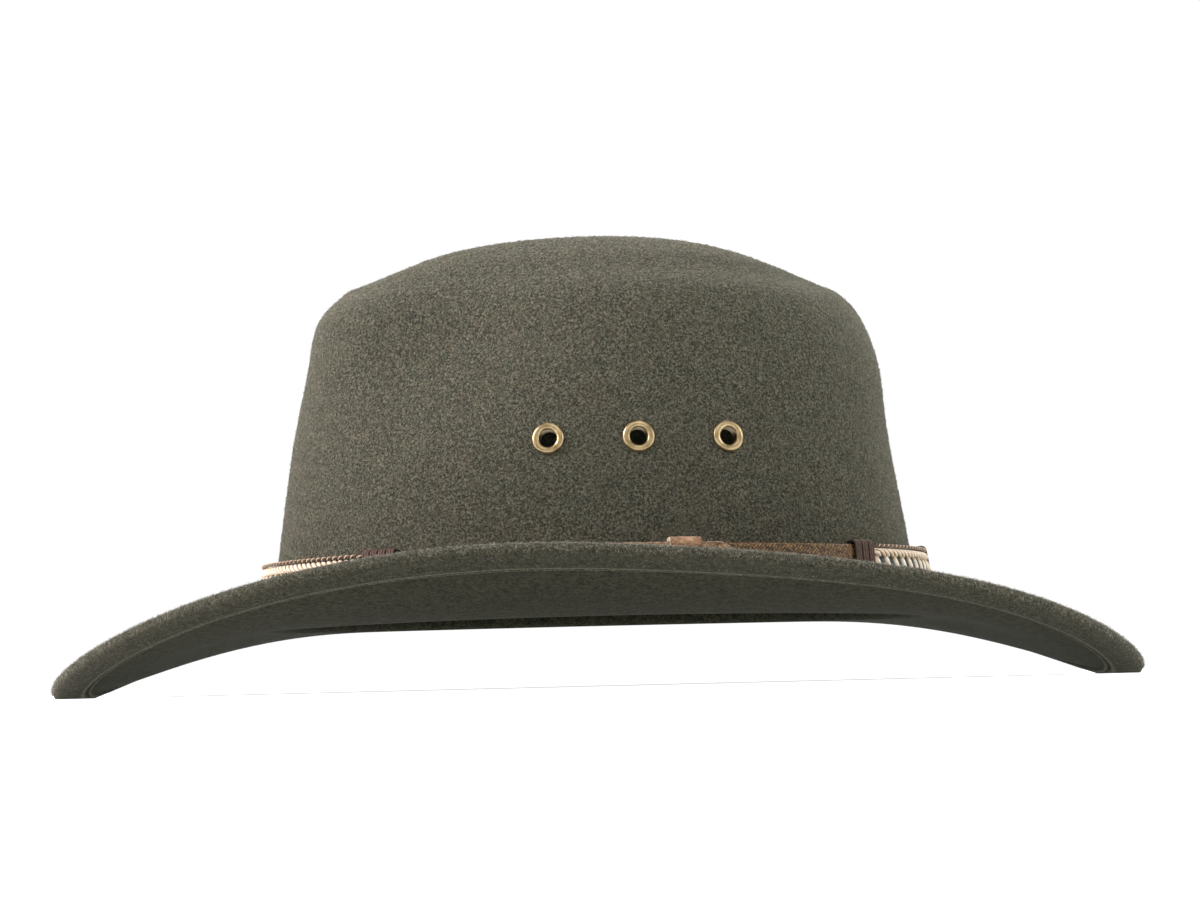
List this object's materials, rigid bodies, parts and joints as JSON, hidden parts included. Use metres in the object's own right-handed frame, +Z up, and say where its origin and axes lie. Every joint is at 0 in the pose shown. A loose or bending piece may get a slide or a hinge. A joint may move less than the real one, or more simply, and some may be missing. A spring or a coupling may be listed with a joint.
{
  "type": "felt hat",
  "caption": "Felt hat with a pinched and creased crown, a brim rolled up at the sides, brass eyelets, and a plaited band with lace wraps.",
  "frame": {"origin": "middle of the hat on the surface it rests on", "axes": "+X towards the back of the hat, -Y towards the side with the strap, +Z up"},
  "size_m": [0.3456, 0.3054, 0.139],
  "materials": {
    "felt": "moss green wool felt with a soft nap",
    "brass": "antique brass, satin",
    "plait": "cream, dark teal and golden brown cords",
    "strap_leather": "golden brown, finely plaited",
    "lace_leather": "reddish brown lace",
    "tan_leather": "tan, raw cut edges"
  },
  "bodies": {
    "root": {"felt_body": "felt", "eyelet_near_front": "brass", "eyelet_near_middle": "brass", "eyelet_near_back": "brass", "eyelet_far_front": "brass", "eyelet_far_middle": "brass", "eyelet_far_back": "brass", "band_plait": "plait", "band_strap": "strap_leather", "lace_wrap_front": "lace_leather", "lace_wrap_back": "lace_leather", "lace_wrap_rear": "lace_leather", "strap_tab": "tan_leather", "strap_keeper": "tan_leather"}
  },
  "joints": []
}
